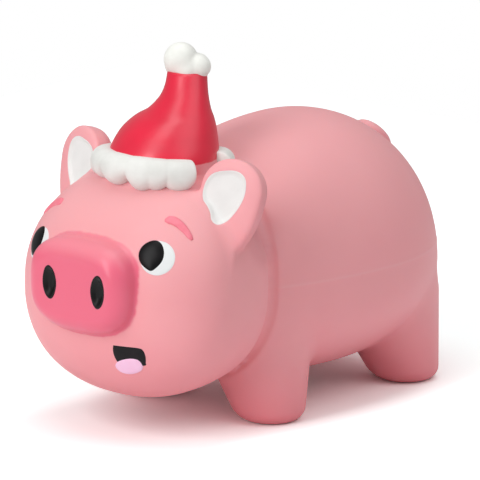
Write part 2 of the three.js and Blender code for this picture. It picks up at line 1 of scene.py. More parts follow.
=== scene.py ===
import math
import bmesh
import bpy
import numpy as np
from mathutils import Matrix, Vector


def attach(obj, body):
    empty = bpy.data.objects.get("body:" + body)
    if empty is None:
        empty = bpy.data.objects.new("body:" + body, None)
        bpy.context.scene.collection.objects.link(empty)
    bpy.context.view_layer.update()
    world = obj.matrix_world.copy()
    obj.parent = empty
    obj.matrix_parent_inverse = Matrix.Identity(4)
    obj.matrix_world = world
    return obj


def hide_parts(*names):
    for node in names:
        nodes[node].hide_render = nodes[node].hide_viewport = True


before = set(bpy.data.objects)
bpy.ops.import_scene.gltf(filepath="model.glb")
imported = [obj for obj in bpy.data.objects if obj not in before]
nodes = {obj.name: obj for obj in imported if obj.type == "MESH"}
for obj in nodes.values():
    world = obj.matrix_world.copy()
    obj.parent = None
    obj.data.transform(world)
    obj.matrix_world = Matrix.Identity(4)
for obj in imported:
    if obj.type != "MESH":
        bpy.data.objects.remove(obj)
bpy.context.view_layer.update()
metres = 0.001  # every size below is in millimetres

view = {
    "target": (0, 2.23, 53.54),
    "azimuth": 41.05,
    "elevation": 14.17,
    "distance": 2400,
    "lens": 542.9,
    "sensor": 36,
    "clip": (0.1, 20),
}


def link(name, data):
    thing = bpy.data.objects.new(name, data)
    bpy.context.scene.collection.objects.link(thing)
    return thing


def addCamera():
    turn, tip = math.radians(view["azimuth"]), math.radians(view["elevation"])
    back = Vector((math.sin(turn) * math.cos(tip), -math.cos(turn) * math.cos(tip), math.sin(tip)))
    data = bpy.data.cameras.new("photoCamera")
    data.lens = view["lens"]
    data.sensor_width = view["sensor"]
    data.clip_start, data.clip_end = view["clip"]
    camera = link("photoCamera", data)
    camera.location = (Vector(view["target"]) + back * view["distance"]) * metres
    camera.rotation_euler = back.to_track_quat("Z", "Y").to_euler()
    bpy.context.scene.camera = camera


addCamera()
print("camera set")


# shader maths: a socket with operators, and a graph that adds nodes
class Wire:
    def __init__(self, graph, socket):
        self.graph, self.socket = graph, socket

    def maths(self, operation, *others):
        return self.graph.add("ShaderNodeMath", {"operation": operation}, [self, *others])

    def __add__(self, other): return self.maths("ADD", other)
    def __radd__(self, other): return self.maths("ADD", other)
    def __sub__(self, other): return self.maths("SUBTRACT", other)
    def __rsub__(self, other): return self.graph.add("ShaderNodeMath", {"operation": "SUBTRACT"}, [other, self])
    def __mul__(self, other): return self.maths("MULTIPLY", other)
    def __rmul__(self, other): return self.maths("MULTIPLY", other)
    def __truediv__(self, other): return self.maths("DIVIDE", other)
    def __pow__(self, other): return self.maths("POWER", other)
    def __abs__(self): return self.maths("ABSOLUTE")

    def ramp(self, low, high):  # 0 below low, 1 above high, smooth between
        settings = {"interpolation_type": "SMOOTHSTEP"}
        return self.graph.add("ShaderNodeMapRange", settings, [self, low, high, 0.0, 1.0])


class Graph:
    def __init__(self, tree):
        self.tree = tree

    def add(self, kind, settings=None, inputs=(), output=0):
        node = self.tree.nodes.new(kind)
        for key, setting in (settings or {}).items():
            setattr(node, key, setting)
        pairs = inputs.items() if isinstance(inputs, dict) else enumerate(inputs)
        for key, entry in pairs:
            self.feed(node.inputs[key], entry)
        return Wire(self, node.outputs[output])

    def feed(self, socket, entry):
        if isinstance(entry, Wire):
            self.tree.links.new(entry.socket, socket)
        else:
            socket.default_value = entry

    def blend(self, share, first, second):
        sockets = {0: share, 6: first, 7: second}  # where a Mix node takes its factor and colours
        return self.add("ShaderNodeMix", {"data_type": "RGBA"}, sockets, 2)

    def place(self):
        return self.add("ShaderNodeTexCoord", output="Object")

    def split(self, vector):
        first = self.add("ShaderNodeSeparateXYZ", {}, [vector])
        return [Wire(self, socket) for socket in first.socket.node.outputs]

    def distance(self, spot):
        return self.add("ShaderNodeVectorMath", {"operation": "DISTANCE"}, [self.place(), spot], "Value")

    def noise(self, scale, detail=2.0):
        return self.add("ShaderNodeTexNoise", {}, {"Vector": self.place(), "Scale": scale, "Detail": detail})

    def bump(self, height, depth, strength=0.6):
        return self.add("ShaderNodeBump", {}, {"Strength": strength, "Distance": depth * metres, "Height": height})


def finishOf(name, build):  # a material whose Principled sockets come from build(graph)
    material = bpy.data.materials.new(name)
    material.use_nodes = True
    g = Graph(material.node_tree)
    surface = g.tree.nodes["Principled BSDF"]
    for socket, entry in build(g).items():
        g.feed(surface.inputs[socket], entry)
    return material


def paint(red, green, blue):  # a colour as it is seen, 0 to 255, as the shader wants it
    def linear(c):
        c = c / 255
        return c / 12.92 if c <= 0.04045 else ((c + 0.055) / 1.055) ** 2.4
    return (linear(red), linear(green), linear(blue), 1.0)


def ringAngles(around):
    return 2 * math.pi * np.arange(around) / around


# the forms of the casting: sizes first, then distances from their surfaces
torso = {"centre": (0, 26.75, 40.4), "side": 44.8, "front": 81.6, "rear": 55.8, "up": 53, "down": 32.7,
         "power": 2.05, "lean": 0, "taper": 0}
head = {"centre": (0, -48.65, 49), "side": 41.3, "front": 27.6, "rear": 44, "up": 38, "down": 37,
        "power": 2.25, "lean": 0.22, "taper": 0.042}
taperSpan = 26  # a taper grows only this far above and below the middle
core = 0.08  # the share of a form round its centre where its slope is not needed
snout = {"y": -81.2, "z": 53.2, "side": 21, "half": 15.6, "power": 2.7, "round": 6, "depth": 20, "core": 0.05,
         "rings": [(0.05, 6), (1.8, 1.8), (6, 0), (18, 0)]}  # how deep, how far in
leg = {"sole": 11, "round": 4.2, "flare": 8, "spread": 26.2, "frontY": -12.2, "rearY": 57.15,
       "frontIn": (0.9, 0), "rearIn": (0.85, 0.55), "top": 46, "topRound": 16}
ear = {"spread": 32.8, "y": -40.05, "z": 84, "half": 10.9, "top": 10.4, "root": 22, "front": 2.3, "back": 7.7,
       "power": 3.4, "tilt": 13.5, "roll": 5.8, "turn": 15.5, "cupDepth": 1.4, "cupWall": 0.22, "cupGrow": 1.04,
       "shift": (0.8, 0, 0), "uneven": (0, 0, 0.5), "joinFrom": (-1.5, 2.5)}
tail = {"radius": 2.5, "curl": 4.9, "turns": 0.72, "y": 69.55, "start": -0.6, "shrink": 0.35, "proud": 0.72,
        "above": 60, "steps": 36, "dropFrom": 120.0}
farAway = 90.0  # a distance that stands for no form near
parting = {"height": 0.14, "width": 0.8, "z": 47.6, "slope": 0.015}
neck = {"depth": 2.4, "width": 1.5}
earHollow = {"centre": (38.5, -23.5, 70), "radius": 8, "soft": 5}  # behind each ear
soften = {"neck": 0.3, "snout": 1.3, "frontLeg": 3.2, "rearLeg": 2.0, "ear": (3.4, 0.9), "tail": 1.4, "hat": 4}
hat = {  # shares: how high, how wide, and how far the soft neck leans
    "height": 28.7, "base": 18.6, "tip": 6.5, "rearY": -17.45, "crown": 87, "skirt": 6,
    "inset": 0.4, "footTop": 89, "footLow": 70, "footRound": 2, "lean": (0.657, -0.754),
    "shares": [(-0.1, 1, 0), (0.12, 0.978, 0), (0.35, 0.86, -0.6), (0.495, 0.715, 0.4), (0.59, 0.565, 2.3),
               (0.725, 0.44, 3.1), (0.85, 0.38, 2.2)],
    "dome": [(0.8, 0.4), (0.4, 0.8)],  # how wide, how high above the tip
    "red": paint(234, 4, 56), "shade": paint(210, 4, 48), "roughness": 0.3, "specular": 0.88,
    "paintEdge": (89.2, 89.7), "edgeWaver": 0.8,
}
squeaker = {"y": 22.55, "flange": 9.3, "seat": 9.04, "white": paint(236, 236, 231), "shade": paint(228, 228, 222)}


def eggReach(q, egg):  # a tapered egg is fuller below its middle and slighter above
    fuller = egg["taper"] * np.clip(q[:, 2], -taperSpan, taperSpan)
    return np.stack([
        egg["side"] - fuller,
        np.where(q[:, 1] < 0, egg["front"] - fuller, egg["rear"]),
        np.where(q[:, 2] < 0, egg["down"], egg["up"]),
    ], 1)


def eggField(p, egg):
    q = p - np.array(egg["centre"], float)
    q[:, 1] -= egg["lean"] * np.maximum(0, q[:, 2]) ** 2 / egg["up"]
    reach = eggReach(q, egg)
    t = np.abs(q) / reach
    size = np.maximum((t ** egg["power"]).sum(1) ** (1 / egg["power"]), core)
    slope = (t ** (egg["power"] - 1) / reach) * size[:, None] ** (1 - egg["power"])
    return (size - 1) / np.maximum(np.linalg.norm(slope, axis=1), 1e-4)


def join(a, b, k):
    h = np.clip(0.5 + 0.5 * (b - a) / k, 0, 1)
    return b * (1 - h) + a * h - k * h * (1 - h)


def roundedCorner(u, v, radius):  # inside both u < 0 and v < 0, with a rounded edge
    a, b = u + radius, v + radius
    return np.minimum(np.maximum(a, b), 0) + np.hypot(np.maximum(a, 0), np.maximum(b, 0)) - radius


def headField(p):
    return eggField(p, head)


def snoutField(p):
    power = snout["power"]
    reach = np.array([snout["side"], snout["half"]])
    t = np.abs(p[:, [0, 2]] - np.array([0, snout["z"]])) / reach
    size = np.maximum((t ** power).sum(1) ** (1 / power), snout["core"])
    slope = np.linalg.norm(t ** (power - 1) / reach, axis=1) * size ** (1 - power)
    drum = roundedCorner((size - 1) / slope, snout["y"] - p[:, 1], snout["round"])
    return np.maximum(drum, p[:, 1] - snout["y"] - snout["depth"])


def widening(z):
    return leg["flare"] * np.sin(math.pi / 2 * np.clip(z / torso["centre"][2], 0, 1))


def legField(p, side, y, inward):
    wide = widening(p[:, 2])
    x = p[:, 0] - side * (leg["spread"] - wide * inward[0])
    out = np.hypot(x, p[:, 1] - y + wide * inward[1]) - leg["sole"] - wide
    top = roundedCorner(out, p[:, 2] - leg["top"], leg["topRound"])
    return np.maximum(roundedCorner(out, -p[:, 2], leg["round"]), top)


# smooth lines through key points, and how far out a point lies in a closed one
def between(a, b, c, d, steps):  # from b to just before c
    return [0.5 * (2 * b + (c - a) * t + (2 * a - 5 * b + 4 * c - d) * t ** 2 + (3 * b - a - 3 * c + d) * t ** 3)
            for t in np.arange(steps) / steps]


def roundOutline(keys, steps=8):
    keys = np.array(keys, float)
    line = []
    for i in range(len(keys)):
        line += between(*(keys[(i + k) % len(keys)] for k in (-1, 0, 1, 2)), steps)
    return np.array(line)


def curveThrough(keys, steps):
    keys = np.array(keys, float)
    whole = np.concatenate([[2 * keys[0] - keys[1]], keys, [2 * keys[-1] - keys[-2]]])
    line = []
    for i in range(len(keys) - 1):
        line += between(*whole[i:i + 4], steps)
    return np.array(line + [keys[-1]])


def shareOut(outline, x, z):
    middle = outline.mean(0)
    away = outline - middle
    angles, radii = np.arctan2(away[:, 1], away[:, 0]), np.hypot(away[:, 0], away[:, 1])
    order = np.argsort(angles)
    u, v = x - middle[0], z - middle[1]
    radius = np.interp(np.arctan2(v, u), angles[order], radii[order], period=2 * math.pi)
    return np.hypot(u, v) / radius


def dish(share, wall):  # 1 on the floor of a dish, 0 outside its edge
    s = np.clip((1 - share) / wall, 0, 1)
    return s * s * (3 - 2 * s)


liningOutline = roundOutline([
    (-9.5, -2.2), (-9.2, 1.0), (-7.8, 3.7), (-5.6, 5.2), (-2.9, 6.1), (0.1, 6.7), (2.7, 6.3), (4.5, 4.9), (5.3, 2.6),
    (5.4, -0.5), (4.6, -3.7), (3.0, -7.1), (1.0, -9.9), (-1.3, -11.5), (-3.4, -10.4), (-4.8, -8.2), (-6.5, -6.3),
    (-8.4, -4.7),
])
nostril = {
    "spread": 10.4, "shift": 1.2, "rise": 0.7, "depth": 1.3, "wall": 0.6, "before": -70, "paintGrow": 1.04,
    "keys": [(0.3, 5.4), (1.9, 4.3), (2.8, 1.3), (2.7, -1.8), (1.6, -4.4), (-0.2, -5.4), (-1.8, -4.1), (-2.8, -0.9),
             (-2.6, 1.8), (-1.5, 4.3)],
}
nostrilOutline = roundOutline(nostril["keys"])


def nostrilSpot(side):
    return side * nostril["spread"] + nostril["shift"], snout["z"] + nostril["rise"]


def turnTo(axis, degrees):
    c, s = math.cos(math.radians(degrees)), math.sin(math.radians(degrees))
    return {"x": np.array([[1, 0, 0], [0, c, -s], [0, s, c]]),
            "y": np.array([[c, 0, s], [0, 1, 0], [-s, 0, c]]),
            "z": np.array([[c, -s, 0], [s, c, 0], [0, 0, 1]])}[axis]


def earFrame(side):
    turn = turnTo("z", side * ear["turn"]) @ turnTo("y", side * ear["roll"]) @ turnTo("x", -ear["tilt"])
    place = np.array([side * ear["spread"], ear["y"], ear["z"]]) + ear["shift"] - side * np.array(ear["uneven"])
    return place, turn


def earReach(unit):
    return np.stack([
        np.full(len(unit), ear["half"]),
        np.where(unit[:, 1] < 0, ear["front"], ear["back"]),
        np.where(unit[:, 2] < 0, ear["root"], ear["top"]),
    ], 1)


def earField(p, side):
    centre, turn = earFrame(side)
    q = (p - centre) @ turn
    reach = earReach(q)
    t = np.abs(q) / reach
    power = ear["power"]
    spread = np.maximum(np.hypot(t[:, 0], t[:, 2]), 1e-6)
    size = np.maximum((spread ** power + t[:, 1] ** power) ** (1 / power), core)
    inPlane = spread ** (power - 2)
    slope = np.stack([inPlane * t[:, 0], t[:, 1] ** (power - 1), inPlane * t[:, 2]], 1) / reach
    petal = (size - 1) / np.maximum(np.linalg.norm(slope * size[:, None] ** (1 - power), axis=1), 1e-4)
    share = shareOut(liningOutline * ear["cupGrow"], side * q[:, 0], q[:, 2])
    inFront = np.clip(0.5 - q[:, 1], 0, 1)
    blend = np.interp(q[:, 1], ear["joinFrom"], soften["ear"])
    return petal, blend, ear["cupDepth"] * dish(share, ear["cupWall"]) * inFront


def lineField(p, line, radius):
    best = np.full(len(p), 1e9)
    for a, b in zip(line[:-1], line[1:]):
        along = np.clip(((p - a) @ (b - a)) / ((b - a) @ (b - a)), 0, 1)
        best = np.minimum(best, np.linalg.norm(p - a - along[:, None] * (b - a), axis=1))
    return best - radius


def fieldSlope(field, p, step=0.03):
    corners = np.array([[1, 1, 1], [1, -1, -1], [-1, 1, -1], [-1, -1, 1]], float)
    return sum(c * field(p + step * c)[:, None] for c in corners) / (4 * step)


def dropOn(field, start, direction, reach, halvings=26):  # follows lines to where the field turns negative
    near, far = np.zeros(len(start)), np.full(len(start), float(reach))
    for _ in range(halvings):
        middle = (near + far) / 2
        outside = field(start + middle[:, None] * direction) > 0
        near, far = np.where(outside, middle, near), np.where(outside, far, middle)
    return start + near[:, None] * direction


def faceFrame(field, start, direction):  # where a line lands, with level, upright and outward there
    point = dropOn(field, np.array([start], float), np.array(direction, float), 200)[0]
    outward = fieldSlope(field, point[None])[0]
    outward /= np.linalg.norm(outward)
    level = np.cross([0, 0, 1], outward)
    level /= np.linalg.norm(level)
    return point, level, np.cross(outward, level), outward


def tailLine():
    share = np.linspace(0, 1, tail["steps"])
    angle = math.pi * tail["start"] + share * tail["turns"] * 2 * math.pi
    radius = tail["curl"] * (1 - tail["shrink"] * share)
    high = np.full(tail["steps"], tail["dropFrom"])
    start = np.stack([radius * np.sin(angle), tail["y"] - radius * np.cos(angle), high], 1)
    top = dropOn(lambda p: eggField(p, torso), start, np.array([0, 0, -1.0]), 90)
    return top + fieldSlope(lambda p: eggField(p, torso), top) * tail["radius"] * tail["proud"]


tailPath = tailLine()


def casting(p):  # distance from the skin of the whole casting
    torsoOnly = eggField(p, torso)
    line = parting["z"] - parting["slope"] * p[:, 1]
    body = torsoOnly - parting["height"] * np.exp(-((p[:, 2] - line) / parting["width"]) ** 2)
    for side in (1, -1):
        body = join(body, legField(p, side, leg["frontY"], leg["frontIn"]), soften["frontLeg"])
        body = join(body, legField(p, side, leg["rearY"], leg["rearIn"]), soften["rearLeg"])
    near = p[:, 2] > tail["above"]
    if near.any():
        curl = np.full(len(p), farAway)
        curl[near] = lineField(p[near], tailPath, tail["radius"])
        body = join(body, curl, soften["tail"])
    drum = snoutField(p)
    for side in (1, -1):
        x, z = nostrilSpot(side)
        share = shareOut(nostrilOutline, side * (p[:, 0] - x), p[:, 2] - z)
        drum = drum + nostril["depth"] * dish(share, nostril["wall"]) * (p[:, 1] < nostril["before"])
    face = join(eggField(p, head), drum, soften["snout"])
    skin = join(body, face, soften["neck"])
    skin = skin + neck["depth"] * np.exp(-(body ** 2 + face ** 2) / neck["width"] ** 2)
    for side in (1, -1):
        hollow = np.linalg.norm(p - np.array(earHollow["centre"]) * [side, 1, 1], axis=1) - earHollow["radius"]
        skin = -join(-skin, hollow, earHollow["soft"])
        petal, blend, cup = earField(p, side)
        skin = join(skin, petal, blend) + cup
    foot = np.hypot(p[:, 0], p[:, 1] - hat["rearY"] + hat["base"]) - hat["base"] + hat["inset"]
    foot = np.maximum(roundedCorner(foot, p[:, 2] - hat["footTop"], hat["footRound"]), hat["footLow"] - p[:, 2])
    skin = join(skin, foot, soften["hat"])
    fromAxis = np.hypot(p[:, 0], p[:, 1] - squeaker["y"])
    recess = np.maximum(fromAxis - squeaker["flange"], p[:, 2] - squeaker["seat"])
    return np.maximum(skin, -recess)


# meshes
def makePiece(name, points, faces, material, stands, body="toy"):
    mesh = bpy.data.meshes.new(name)
    mesh.from_pydata((np.asarray(points, float) * metres).tolist(), [], [list(map(int, f)) for f in faces])
    mesh.validate()
    mesh.update()
    piece = link(name, mesh)
    mesh.polygons.foreach_set("use_smooth", [True] * len(mesh.polygons))
    mesh.materials.append(material)
    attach(piece, body)
    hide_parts(*stands)


def ballGrid(rule, around=48, along=32, upright=False):  # a closed ball whose unit points a rule moves
    turn = ringAngles(around)
    rows = [np.stack([np.cos(turn) * math.sin(a), np.full(around, -math.cos(a)), np.sin(turn) * math.sin(a)], 1)
            for a in (math.pi * i / along for i in range(1, along))]
    unit = np.concatenate([[[0, -1, 0]], *rows, [[0, 1, 0]]])
    if upright:
        unit = unit[:, [0, 2, 1]] * np.array([-1, 1, 1])
    last = len(unit) - 1
    faces = []
    for j in range(around):
        k = (j + 1) % around
        faces.append((0, 1 + j, 1 + k))
        faces.append((last, last - around + k, last - around + j))
        for i in range(len(rows) - 1):
            a, b = 1 + i * around, 1 + (i + 1) * around
            faces.append((a + j, b + j, b + k, a + k))
    return rule(unit), faces


def stackRings(rings):  # a closed skin over rings, with a point in the middle of each end
    around = len(rings[0])
    points = np.concatenate([[np.mean(rings[0], 0)], *rings, [np.mean(rings[-1], 0)]])
    last = len(points) - 1
    faces = []
    for j in range(around):
        k = (j + 1) % around
        faces.append((0, 1 + k, 1 + j))
        faces.append((last, last - around + j, last - around + k))
        for i in range(len(rings) - 1):
            a, b = 1 + i * around, 1 + (i + 1) * around
            faces.append((a + j, a + k, b + k, b + j))
    return points, faces


def eggPoints(egg):
    def rule(unit):
        p = unit / ((np.abs(unit) ** egg["power"]).sum(1) ** (1 / egg["power"]))[:, None]
        p = p * eggReach(p * egg["up"], egg)
        p[:, 1] += egg["lean"] * np.maximum(0, p[:, 2]) ** 2 / egg["up"]
        return p + np.array(egg["centre"])
    return ballGrid(rule)


def snoutPoints(around=64):
    turn = ringAngles(around)
    c, s = np.cos(turn), np.sin(turn)
    square = (np.abs(c) ** snout["power"] + np.abs(s) ** snout["power"]) ** (-1 / snout["power"])
    rings = []
    for depth, inset in snout["rings"]:
        x, z = (snout["side"] - inset) * c * square, (snout["half"] - inset) * s * square
        rings.append(np.stack([x, np.full(around, snout["y"] + depth), z + snout["z"]], 1))
    return stackRings(rings)


def earPoints(side):
    centre, turn = earFrame(side)

    def rule(unit):
        spread = np.hypot(unit[:, 0], unit[:, 2])
        size = (spread ** ear["power"] + np.abs(unit[:, 1]) ** ear["power"]) ** (1 / ear["power"])
        p = unit / size[:, None]
        return (p * earReach(p)) @ turn.T + centre
    return ballGrid(rule)


def legPoints(side, y, inward, around=40, levels=24):
    turn = ringAngles(around)
    rings = []
    for z in np.linspace(0, torso["centre"][2], levels):
        wide = widening(z)
        centre = np.array([side * (leg["spread"] - wide * inward[0]), y - wide * inward[1], z])
        rings.append(centre + (leg["sole"] + wide) * np.stack([np.cos(turn), np.sin(turn), 0 * turn], 1))
    return stackRings(rings)


def tubePoints(line, radius, around=20):
    turn = ringAngles(around)
    rings = []
    for point, way in zip(line, np.gradient(line, axis=0)):
        way = way / np.linalg.norm(way)
        first = np.cross(way, [0, 0, 1.0])
        first /= np.linalg.norm(first)
        second = np.cross(way, first)
        rings.append(point + radius * (np.cos(turn)[:, None] * first + np.sin(turn)[:, None] * second))
    return stackRings(rings)


def fuse(parts, voxel):  # one skin round overlapping closed parts
    points, faces, start = [], [], 0
    for p, f in parts:
        points.append(p)
        faces += [tuple(i + start for i in face) for face in f]
        start += len(p)
    mesh = bpy.data.meshes.new("fusing")
    mesh.from_pydata((np.concatenate(points) * metres).tolist(), [], faces)
    holder = link("fusing", mesh)
    check = bmesh.new()
    check.from_mesh(mesh)
    bmesh.ops.recalc_face_normals(check, faces=check.faces)
    check.to_mesh(mesh)
    check.free()
    remesh = holder.modifiers.new("fuse", "REMESH")
    remesh.mode = "VOXEL"
    remesh.voxel_size = voxel * metres
    ready = holder.evaluated_get(bpy.context.evaluated_depsgraph_get()).to_mesh()
    skin = np.empty(len(ready.vertices) * 3)
    ready.vertices.foreach_get("co", skin)
    quads = [tuple(face.vertices) for face in ready.polygons]
    holder.to_mesh_clear()
    bpy.data.objects.remove(holder)
    bpy.data.meshes.remove(mesh)
    return skin.reshape(-1, 3) / metres, quads


def refine(points, faces, centres, reach, cuts):  # smaller faces near some places
    middles = (points[[f[0] for f in faces]] + points[[f[2] for f in faces]]) / 2
    wanted = np.zeros(len(faces), bool)
    for centre in centres:
        wanted |= np.linalg.norm(middles - centre, axis=1) < reach
    mesh = bmesh.new()
    made = [mesh.verts.new(p) for p in points]
    shapes = [mesh.faces.new([made[i] for i in face]) for face in faces]
    near = {edge for shape, close in zip(shapes, wanted) if close for edge in shape.edges}
    edges = [edge for edge in mesh.edges if edge in near]
    bmesh.ops.subdivide_edges(mesh, edges=edges, cuts=cuts, use_grid_fill=True)
    bmesh.ops.triangulate(mesh, faces=[f for f in mesh.faces if len(f.verts) > 4])
    mesh.verts.index_update()
    out = np.array([v.co[:] for v in mesh.verts])
    shapes = [tuple(v.index for v in f.verts) for f in mesh.faces]
    mesh.free()
    return out, shapes


# brings points onto a field's surface and evens them out, all but in the last rounds
def settle(points, faces, field, rounds, relax=0.5, still=2, furthest=1.2, leastSlope=0.6):
    pairs = np.array([(f[i], f[(i + 1) % len(f)]) for f in faces for i in range(len(f))])
    count = np.bincount(pairs.ravel(), minlength=len(points))[:, None]
    for turnNumber in range(rounds):
        slope = fieldSlope(field, points)
        outward = slope / np.maximum(np.linalg.norm(slope, axis=1), 1e-6)[:, None]
        if turnNumber < rounds - still:
            total = np.zeros_like(points)
            np.add.at(total, pairs[:, 0], points[pairs[:, 1]])
            np.add.at(total, pairs[:, 1], points[pairs[:, 0]])
            pull = total / count - points
            pull -= (pull * outward).sum(1)[:, None] * outward
            points = points + relax * pull
        reach = np.clip(field(points), -furthest, furthest)[:, None]
        points = points - outward * reach / np.maximum(np.linalg.norm(slope, axis=1), leastSlope)[:, None]
    return points


latex = {
    "pink": paint(248, 163, 170), "deep": paint(240, 149, 157), "deepShare": 0.4,
    # painted light: skin that faces upwards turns paler, as if lit from above
    "top": paint(238, 176, 178), "litTopShare": 0.55, "litTopFrom": (-0.5, 0.8),
    # painted shade: deeper pink towards the floor, below about 31 mm
    "foot": paint(238, 128, 138), "shadeLowShare": 0.8, "shadeLowFrom": (-0.004, 0.031),
    # painted shade in the hollows behind the ears
    "paintedShade": paint(160, 62, 80), "paintedShadeReach": (0.001, 0.0145),
    "paintedShades": [(0.66, (33, -27, 66)), (0.3, (41, -29, 79))],  # how dark the painted shade is, and where behind the left ear
    # painted highlight: a paler line along the parting-line ridge
    "seamHighlight": paint(246, 186, 190), "seamHighlightShare": 0.28, "seamHighlightFrom": (-0.022, -0.018),
    "roughness": 0.52, "grain": 0.03,
    "voxel": 0.8, "rounds": 8, "fineSnout": 7, "fineEar": 15,
}
spray = {  # the darker pink sprayed on the snout
    "pink": paint(238, 108, 134), "edge": (1.015, 1.06), "waver": 0.07, "back": (-0.068, -0.065),
    # painted light: the spray turns paler over the top of the snout
    "snoutTopLightFrom": (0.008, 0.0145), "snoutTopLightShare": 0.4, "gloss": 0.19,
}


def latexFinish(g):
    x, y, z = g.split(g.place())
    blotch = g.noise(32, 3.0)
    base = g.blend(blotch.ramp(0.35, 0.65) * latex["deepShare"], latex["pink"], latex["deep"])
    # painted shade: darker towards the floor
    base = g.blend((1 - z.ramp(*latex["shadeLowFrom"])) * latex["shadeLowShare"], base, latex["foot"])
    for depth, spot in latex["paintedShades"]:  # painted shade: darker where the skin folds in behind the ears
        for side in (1, -1):
            near = g.distance(Vector(spot) * metres * Vector((side, 1, 1)))
            base = g.blend((1 - near.ramp(*latex["paintedShadeReach"])) * depth, base, latex["paintedShade"])
    # painted light: paler where the skin faces up
    litFromAbove = g.split(g.add("ShaderNodeNewGeometry", output="Normal"))[2].ramp(*latex["litTopFrom"])
    base = g.blend(litFromAbove * latex["litTopShare"], base, latex["top"])
    across = abs(x / (snout["side"] * metres)) ** snout["power"]
    above = abs((z - snout["z"] * metres) / (snout["half"] * metres)) ** snout["power"]
    edge = (across + above) ** (1 / snout["power"]) + (g.noise(260, 3.0) - 0.5) * spray["waver"]
    sprayed = (1 - edge.ramp(*spray["edge"])) * (1 - y.ramp(*spray["back"]))
    # painted light: the sprayed pink is paler towards the top of the snout, as if lit from above
    snoutTopLight = (z - snout["z"] * metres).ramp(*spray["snoutTopLightFrom"])
    colour = g.blend(sprayed * (1 - snoutTopLight * spray["snoutTopLightShare"]), base, spray["pink"])
    # painted highlight: the parting-line ridge on the torso, behind the head, is paler
    seamGleam = 1 - abs(z + parting["slope"] * y - parting["z"] * metres).ramp(0.0, parting["width"] * 0.9 * metres)
    seamGleam = seamGleam * y.ramp(*latex["seamHighlightFrom"])
    colour = g.blend(seamGleam * latex["seamHighlightShare"], colour, latex["seamHighlight"])
    rough = latex["roughness"] + (g.noise(60) - 0.5) * 0.12 - sprayed * spray["gloss"]
    normal = g.bump(g.noise(900) * 0.3 + blotch, latex["grain"])
    return {"Base Color": colour, "Roughness": rough, "Normal": normal, "Subsurface Weight": 0.1,
            "Subsurface Scale": 0.004, "Specular IOR Level": 0.4}


def addSkin():
    parts = [eggPoints(torso), eggPoints(head), snoutPoints(), tubePoints(tailPath, tail["radius"])]
    for side in (1, -1):
        parts.append(earPoints(side))
        parts.append(legPoints(side, leg["frontY"], leg["frontIn"]))
        parts.append(legPoints(side, leg["rearY"], leg["rearIn"]))
    points, faces = fuse(parts, latex["voxel"])
    pits = [np.insert(nostrilSpot(side), 1, snout["y"]) for side in (1, -1)]
    points, faces = refine(points, faces, pits, latex["fineSnout"], 2)
    points, faces = refine(points, faces, [earFrame(side)[0] for side in (1, -1)], latex["fineEar"], 1)
    points = settle(points, faces, casting, latex["rounds"])
    print("latex skin:", len(points), "points")
    stands = ["torso", "head", "snout", "tail", "ear_left", "ear_right"]
    stands += [f"leg_{end}_{side}" for end in ("front", "rear") for side in ("left", "right")]
    makePiece("latexSkin", points, faces, finishOf("latexSkin", latexFinish), stands)


addSkin()


def hatFinish(g):
    z = g.split(g.place())[2]
    brushed = g.noise(70, 3.0)
    colour = g.blend(brushed.ramp(0.3, 0.7) * 0.5, hat["red"], hat["shade"])
    wavy = z + (g.noise(300) - 0.5) * (hat["edgeWaver"] * metres)
    bare = 1 - wavy.ramp(*(edge * metres for edge in hat["paintEdge"]))
    colour = g.blend(bare, colour, latex["deep"])
    normal = g.bump(g.noise(260, 3.0) + brushed, 0.03, 0.5)
    return {"Base Color": colour, "Roughness": hat["roughness"] + g.noise(180) * 0.06, "Normal": normal,
            "Specular IOR Level": hat["specular"]}


def addHat(around=96):
    keys = [(rise * hat["height"] + hat["crown"], share * hat["base"], slump)
            for rise, share, slump in hat["shares"]]
    line = curveThrough(keys + [(hat["crown"] + hat["height"], hat["tip"], 0)], 7)
    turn = ringAngles(around)
    rings = []
    for z, radius, slump in [(line[0][0] - hat["skirt"], line[0][1], 0), *line]:
        x = radius * np.cos(turn) + hat["lean"][0] * slump
        y = hat["rearY"] - radius + radius * np.sin(turn) + hat["lean"][1] * slump
        rings.append(np.stack([x, y, np.full(around, z)], 1))
    top = rings[-1]
    middle = top.mean(0)
    for share, rise in hat["dome"]:
        rings.append(middle + (top - middle) * share + np.array([0, 0, rise]))
    points, faces = stackRings(rings)
    makePiece("hatShell", points, faces, finishOf("hatPaint", hatFinish), ["hat"])


addHat()

# fur trim: a roll with uneven lobes (angle, half width, size), thin where the ears press into it
trim = {
    "radius": 18.9, "roll": 4.9, "rise": -0.6, "tilt": -6,
    "notch": (0.93, 0.36),  # size between lobes, and how much slighter it is below
    "full": (0.97, 0.22, 0.04),  # size on a lobe, and how much fuller it is below and outside
    "round": 0.7, "tuckThin": 0.66, "tuckIn": 3.2, "tuckEase": 4,
    "lobes": [(-122, 12, 0.7), (-97, 14.5, 0.95), (-67.5, 13.5, 1.18), (-54.5, 12, 1.02), (-33.5, 14, 1.15),
              (27, 14, 1.1), (54, 14.5, 1.0), (81, 14, 1.08), (108, 14.5, 0.96), (135, 14, 1.05), (158, 12, 1.0),
              (-146, 13, 1.0)],
    "tucks": [(2, 23), (184, 13)],
    "raised": (44, 40, 2.1),  # angle, half width and height of the raised part behind the left ear
    "white": paint(234, 234, 230), "shade": paint(220, 220, 215), "spillRed": paint(204, 44, 66),
    "spillAt": (0.0163, -0.0268, 0.0898), "spillReach": (0.0013, 0.0016),
}


def trimRing(angle):  # how full the roll is at an angle, and how far it is tucked in
    def apart(other):
        return abs((math.degrees(angle) - other + 180) % 360 - 180)
    lobe = max(size * max(0, 1 - (apart(middle) / half) ** 2) ** trim["round"]
               for middle, half, size in trim["lobes"])
    tuck = max(min(1, max(0, (half - apart(middle)) / trim["tuckEase"])) for middle, half in trim["tucks"])
    return lobe, tuck * tuck * (3 - 2 * tuck)


